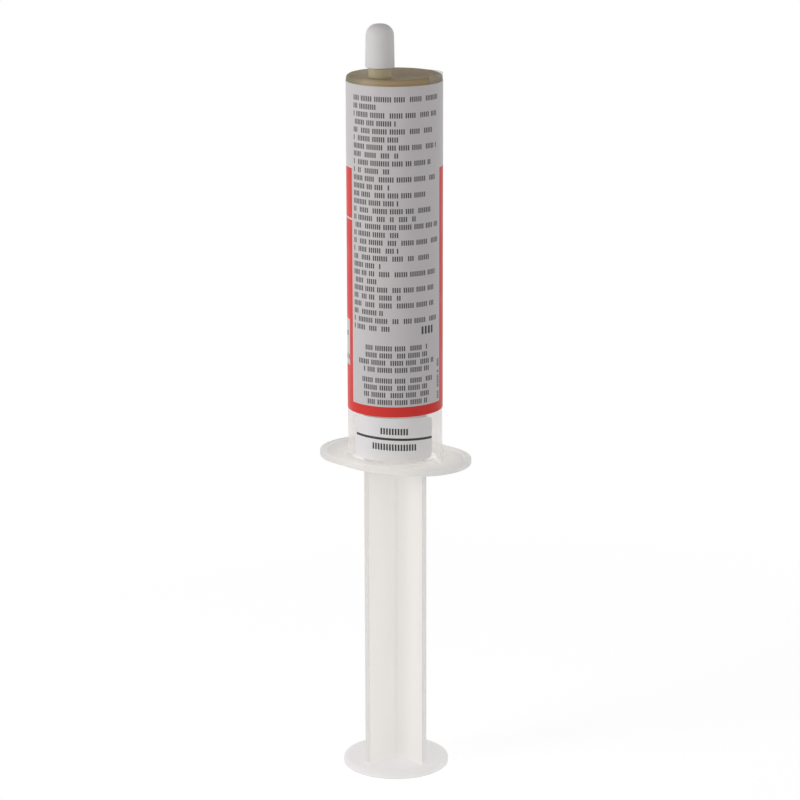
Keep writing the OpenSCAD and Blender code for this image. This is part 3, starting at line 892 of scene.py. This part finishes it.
# %% Ruler and chance
ROW_SHIFT = 7.31  # moves each row's groups on, so that their gaps don't line up


def ruler(tree):
    """The print map's two directions, in millimetres along and up."""
    uv = node(tree, "ShaderNodeUVMap", uv_map=PRINT_MAP).outputs[0]
    axes = node(tree, "ShaderNodeSeparateXYZ", {0: uv})
    return Sum(tree, axes.outputs["X"]), Sum(tree, axes.outputs["Y"])


def chance(value):
    """Steady random number between 0 and 1 for each value."""
    made = node(value.tree, "ShaderNodeTexWhiteNoise", {"W": value}, noise_dimensions="1D")
    return Sum(value.tree, made.outputs["Value"])


def groups(along, row, length, gap):
    """1 inside groups of about the given length, 0 in the gaps between them; each row breaks elsewhere."""
    cells = {"W": along / length + row * ROW_SHIFT, "Scale": 1.0, "Randomness": 1.0}
    edge = node(along.tree, "ShaderNodeTexVoronoi", cells, voronoi_dimensions="1D",
                feature="DISTANCE_TO_EDGE")
    return Sum(along.tree, edge.outputs["Distance"]) > gap / length / 2


# %% Small print
TICK_H, TICK, TICK_INK, GROUP, GROUP_GAP = 1.2, 0.52, 0.62, 3.6, 0.75


def small_print(along, up, top, pitch, rows, first, last, size=1.0, group=GROUP):
    """Rows of even upright ticks in groups: a tick fills the first share TICK_INK of each step TICK along the
    row, and whole ticks are left out between groups. First and last are a row's ends, each a number or worked
    out from the row's number, and size makes larger ticks."""
    row = ((up * -1 + top) / pitch + 0.5).floor()
    above = (up - (row * -pitch + top)) / size
    step = TICK * size
    middle = ((along / step).floor() + TICK_INK / 2) * step
    tick = along.near(middle, TICK_INK * step) * above.within(-TICK_H / 2, TICK_H / 2)
    kept = groups(middle, row, group * size, GROUP_GAP * size)
    ends = [end(row) if callable(end) else end for end in (first, last)]
    return row.within(-0.5, rows - 0.5) * tick * kept * middle.within(*ends)


print(f"a tick is {TICK_INK * TICK:.2f} by {TICK_H} mm")

# %% Wrap label layout
HEADER_FROM, PANEL_FROM, PANEL_LEFT, PANEL_RIGHT = 57.75, 2.43, -11.9, 13.0
SIDE_LEFT, SIDE_RIGHT, SIDE_FROM, SIDE_TO = -36.0, -13.6, 10.8, 21.8
STRIPE_AT, STRIPE_T = 45.85, 0.45
ROW_PITCH, BLOCK_TOP, BLOCK_ROWS, BLOCK_LEFT, BLOCK_RIGHT = 1.84, 74.4, 30, -11.0, 11.6
RAGGED_IN, RAGGED_BY, SECOND_SHORT, SECOND_BY = 3.0, 3.5, 17, 11
FOOT_TOPS, FOOT_PITCH, FOOT_ROWS = (16.4, 8.7), 1.72, 4
FOOT_LEFT, FOOT_RIGHT, FOOT_RAGGED = -9.5, 10.2, 2.5
LARGE_TOP, LARGE_LEFT, LARGE_RIGHT, LARGE_SIZE = 20.35, 6.2, 10.2, 1.8
SIDE_ROWS, SIDE_DOWN, SIDE_IN, SIDE_RAGGED = 5, 1.7, 1.2, 5
EDGE_AT, EDGE_FROM, EDGE_TO, EDGE_SIZE = 12.2, 3.0, 12.8, 0.75


def red_field(along, up):
    """1 where the label is red: all of it but the header, the two panels and a fine stripe."""
    panel = along.within(PANEL_LEFT, PANEL_RIGHT) * (up > PANEL_FROM)
    side_panel = along.within(SIDE_LEFT, SIDE_RIGHT) * up.within(SIDE_FROM, SIDE_TO)
    stripe = up.near(STRIPE_AT, STRIPE_T) * (along < PANEL_LEFT)
    return ((up > HEADER_FROM) | panel | side_panel | stripe) * -1 + 1


def ragged(row):
    """Where a row of the main block ends: every second row is shorter."""
    second = (row * 0.5).math("FRACT") > 0.25
    return (second * (chance(row) * SECOND_BY - SECOND_SHORT)
            + chance(row + 0.5) * RAGGED_BY + (BLOCK_RIGHT - RAGGED_IN))


def wrap_ticks(along, up):
    """All ticks of the wrap label: main block, large ticks, side panel, right edge and two foot blocks. A
    place has ink where any of them has."""
    ink = small_print(along, up, BLOCK_TOP, ROW_PITCH, BLOCK_ROWS, BLOCK_LEFT, ragged)
    ink = ink | small_print(along, up, LARGE_TOP, ROW_PITCH, 1, LARGE_LEFT, LARGE_RIGHT, LARGE_SIZE)
    ink = ink | small_print(along, up, SIDE_TO - SIDE_DOWN, ROW_PITCH, SIDE_ROWS, SIDE_LEFT + SIDE_IN,
                            lambda row: chance(row) * -SIDE_RAGGED + SIDE_RIGHT)
    ink = ink | small_print(up, along * -1, -EDGE_AT, ROW_PITCH, 1, EDGE_FROM, EDGE_TO, EDGE_SIZE)
    for top in FOOT_TOPS:
        ink = ink | small_print(along, up, top, FOOT_PITCH, FOOT_ROWS,
                                lambda row: chance(row + top) * FOOT_RAGGED + FOOT_LEFT,
                                lambda row: chance(row + top) * -FOOT_RAGGED + FOOT_RIGHT)
    return ink


print(BLOCK_ROWS + len(FOOT_TOPS) * FOOT_ROWS + SIDE_ROWS + 1, "rows of ticks, and one up the right edge")

# %% Wrap label print
PAPER, RED, INK = (0.635, 0.605, 0.612), (0.72, 0.047, 0.041), (0.035, 0.033, 0.035)
PAPER_SPREAD, INK_SHARE = 0.03, 0.92
FILM_TINT, FILM_CLEAR = (0.55, 0.52, 0.47), 0.75


def cloudy(tree, cloud, colour):
    """Colour a little darker and lighter by a cloud pattern."""
    dark, light = (np.array(colour) * share for share in (1 - PAPER_SPREAD, 1 + PAPER_SPREAD))
    return tinted(tree, cloud, dark, light)


def wrap_print():
    """Paper, then the red fields, the ticks and the clear film margin, each laid over the ones before."""
    material, tree, shader, where = finish("wrap_label_print", Specular_IOR_Level=0.12)
    along, up = ruler(tree)
    cloud = grain(tree, where, 6.0)
    film = height_of(tree, where) > wrap_high[2]
    colour = cloudy(tree, cloud, PAPER)
    for share, tint in ((red_field(along, up), RED), (wrap_ticks(along, up) * INK_SHARE, INK),
                        (film, FILM_TINT)):
        colour = tinted(tree, share, colour, tint)
    dress(tree, shader, colour, ranged(tree, cloud, 0.34, 0.44),
          grain(tree, where, 0.35, detail=4.0), depth_mm=0.008)
    unseen = node(tree, "ShaderNodeBsdfTransparent").outputs[0]
    stock = {0: film * FILM_CLEAR, 1: shader.outputs[0], 2: unseen}
    stock = node(tree, "ShaderNodeMixShader", stock).outputs[0]
    tree.links.new(stock, tree.nodes["Material Output"].inputs["Surface"])
    return material


seat(wrap, "barrel", "wrap_label_stock", wrap_print(), "wrap_label")

# %% Batch label print
BATCH_PAPER = (0.835, 0.812, 0.815)
RULE_T, RULE_FROM, RULE_SHORT, RULE_UP, PRINT_LEAN = 0.58, 0.45, 0.05, 0.2, -0.022
MARKS_TOP, MARKS_PITCH, MARKS_SIZE = 7.2, 3.8, 1.3
MARKS_OFF, MARKS_HALF, MARKS_WIDER = 0.25, 3.6, 2
ONE_GROUP = 10 * batch_w  # longer than the label, so its ticks have no gaps


def batch_print():
    """Paper with a rule across it and a row of ticks above and below. All of it leans, because the height is
    taken less a share of the distance from the label's middle."""
    material, tree, shader, where = finish("batch_label_print", Specular_IOR_Level=0.35)
    along, up = ruler(tree)
    up = up - (along - batch_w / 2) * PRINT_LEAN
    cloud = grain(tree, where, 5.0)
    rule = along.within(RULE_FROM, batch_w - RULE_SHORT) * up.near(batch_h / 2 + RULE_UP, RULE_T)
    marks_at = batch_w / 2 + MARKS_OFF
    marks = small_print(along, up, MARKS_TOP, MARKS_PITCH, 2,
                        lambda row: row * -MARKS_WIDER + (marks_at - MARKS_HALF),
                        lambda row: row * MARKS_WIDER + (marks_at + MARKS_HALF), MARKS_SIZE, ONE_GROUP)
    colour = tinted(tree, rule | marks, cloudy(tree, cloud, BATCH_PAPER), INK)
    dress(tree, shader, colour, ranged(tree, cloud, 0.36, 0.46),
          grain(tree, where, 0.35, detail=4.0), depth_mm=0.008)
    return material


seat(batch, "barrel", "batch_label_stock", batch_print(), "batch_label")

# %% [markdown]
# ## Floor and light
# The syringe stands on a white sweep in soft light from the left. Raising the lamps until the floor is white
# would burn out the plastic, so the lamps stay at a plain level and the floor and the world show white only
# to rays that the camera, a reflection or clear plastic sends out. A little of the lit floor is mixed in near
# the syringe, so its shadow stays.

# %% Floor
FLOOR_HALF, FLOOR_GREY = 6.0, (0.9, 0.9, 0.9, 1)
NEAR, FAR = 0.15, 0.7
LIT_SHARE, LIFT = 0.35, 1.3
WHITE = (1, 1, 1, 1)


def white_to_eye(tree):
    """1 for a ray from the camera, a reflection or through clear plastic, else 0."""
    path = node(tree, "ShaderNodeLightPath").outputs
    rays = [Sum(tree, path[f"Is {name} Ray"]) for name in ("Camera", "Glossy", "Transmission")]
    return rays[0] | rays[1] | rays[2]


def floor_finish():
    """White to the eye, less a share of the lit floor that fades out from NEAR to FAR, with the white lifted
    there to make up for the share."""
    material = bpy.data.materials.new("white_sweep")
    material.use_nodes = True
    tree = material.node_tree
    tree.nodes.clear()
    where = node(tree, "ShaderNodeTexCoord").outputs["Object"]
    far = node(tree, "ShaderNodeVectorMath", {0: where}, operation="LENGTH").outputs["Value"]
    near = ranged(tree, far, 1, 0, at=(NEAR, FAR))
    lit = node(tree, "ShaderNodeBsdfDiffuse", {"Color": FLOOR_GREY}).outputs[0]
    level = near * (LIFT - 1) + 1
    white = node(tree, "ShaderNodeEmission", {"Color": WHITE, "Strength": level}).outputs[0]
    share = white_to_eye(tree) * (near * -LIT_SHARE + 1)
    blend = node(tree, "ShaderNodeMixShader", {0: share, 1: lit, 2: white}).outputs[0]
    node(tree, "ShaderNodeOutputMaterial", {"Surface": blend})
    return material


floor_mesh = bpy.data.meshes.new("floor")
floor_corners = FLOOR_HALF * np.array([[-1, -1, 0], [1, -1, 0], [1, 1, 0], [-1, 1, 0]])
floor_mesh.from_pydata(floor_corners.tolist(), [], [[0, 1, 2, 3]])
floor_mesh.materials.append(floor_finish())
floor = bpy.data.objects.new("floor", floor_mesh)
bpy.context.scene.collection.objects.link(floor)
print("floor", 2 * FLOOR_HALF, "m wide")

# %% World and lamps
AMBIENT_SIDE, AMBIENT_TOP, AMBIENT_AT = 0.62, 0.24, (0.1, 0.9)
KEY_TURN, KEY_RISE, KEY_AWAY, KEY_SIZE = math.radians(-64), math.radians(8), 1.0, (0.5, 0.8)
FILL_TURN, FILL_RISE, FILL_AWAY, FILL_SIZE = math.radians(70), math.radians(6), 1.3, (0.6, 0.8)
KEY_POWER, FILL_POWER = 5.4, 2.8
middle_of_part = Vector((0, 0, (cad_box[0][2] + cad_box[1][2]) / 2))

world = bpy.data.worlds.new("studio")
bpy.context.scene.world = world
world.use_nodes = True
world_tree = world.node_tree
seen = white_to_eye(world_tree)
sky_way = node(world_tree, "ShaderNodeTexCoord").outputs["Generated"]
sky_z = node(world_tree, "ShaderNodeSeparateXYZ", {0: sky_way}).outputs["Z"]
ambient = ranged(world_tree, sky_z, AMBIENT_SIDE, AMBIENT_TOP, at=AMBIENT_AT)
strength = seen + (seen * -1 + 1) * ambient
background = world_tree.nodes["Background"]
background.inputs["Color"].default_value = WHITE
world_tree.links.new(strength.socket, background.inputs["Strength"])


def softbox(name, turned, rise, away, size, power):
    """Soft lamp that looks at the middle of the syringe, turned from the camera's side."""
    lamp = bpy.data.lights.new(name, "AREA")
    lamp.shape = "RECTANGLE"
    lamp.size, lamp.size_y = size
    lamp.energy = power
    angle = facing + turned
    way = Vector((math.cos(angle) * math.cos(rise), math.sin(angle) * math.cos(rise), math.sin(rise)))
    looking = way.to_track_quat("Z", "Y").to_matrix().to_4x4()
    holder = bpy.data.objects.new(name, lamp)
    holder.matrix_world = Matrix.Translation(middle_of_part + way * away) @ looking
    bpy.context.scene.collection.objects.link(holder)


softbox("key", KEY_TURN, KEY_RISE, KEY_AWAY, KEY_SIZE, KEY_POWER)
softbox("fill", FILL_TURN, FILL_RISE, FILL_AWAY, FILL_SIZE, FILL_POWER)
bpy.context.scene.view_settings.view_transform = "Standard"
print("lit from the left by", KEY_POWER, "W, from the right by", FILL_POWER, "W")
